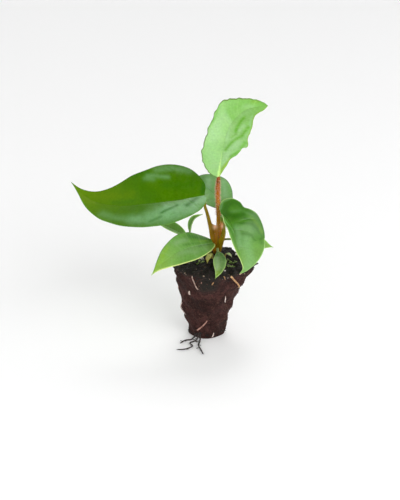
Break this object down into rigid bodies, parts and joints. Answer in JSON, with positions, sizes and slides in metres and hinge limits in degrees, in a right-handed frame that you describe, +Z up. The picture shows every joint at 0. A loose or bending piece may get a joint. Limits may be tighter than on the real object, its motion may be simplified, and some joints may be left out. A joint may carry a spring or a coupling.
{
  "type": "philodendron squamiferum starter plant in a soil plug",
  "caption": "Young aroid with lobed, waxy leaves on bristly stalks, rising from a short crown in a tapered plug of soil that stands on its small flat foot, wiry roots trailing at its base.",
  "frame": {"origin": "centre of the plug's flat foot, on the ground", "axes": "+Z up along the stem and the tallest leaf, -Y to the front of the plant, +X to its right as seen from the front"},
  "size_m": [0.1179, 0.0615, 0.1406],
  "materials": {
    "soil": "damp, crumbly peat mix, dark brown to black, not reflective",
    "stalk_brown": "olive to red-brown stalk, slightly waxy, set with short pale bristles",
    "leaf_lime": "young pale green blade, satin, lets light through",
    "leaf_deep": "deep green waxy blade with broad pale reflections",
    "leaf_mid": "mid green waxy blade with sunk side veins",
    "leaf_bluish": "greyish blue-green satin blade",
    "leaf_pale": "pale green satin blade with a yellowish margin",
    "leaf_grey": "grey-green satin young leaf",
    "sheath_yellow": "dry, papery, yellowed sheath",
    "sheath_green": "pale green, papery sheath",
    "root_light": "straw-coloured root, matt",
    "root_dark": "wiry dark root, matt"
  },
  "bodies": {
    "root": {"soil_plug": "soil", "stem_with_stalks": "stalk_brown", "blade_top": "leaf_lime", "blade_left": "leaf_deep", "blade_right": "leaf_mid", "leaf_back": "leaf_bluish", "leaf_low_left": "leaf_pale", "leaf_front": "leaf_grey", "leaf_back_right": "leaf_pale", "leaf_side_outer": "leaf_mid", "leaf_side_inner": "leaf_mid", "sheath_withered": "sheath_yellow", "sheath_pale": "sheath_green", "root_straw": "root_light", "root_pale": "root_light", "root_low": "root_light", "roots_trailing": "root_dark"}
  },
  "joints": []
}
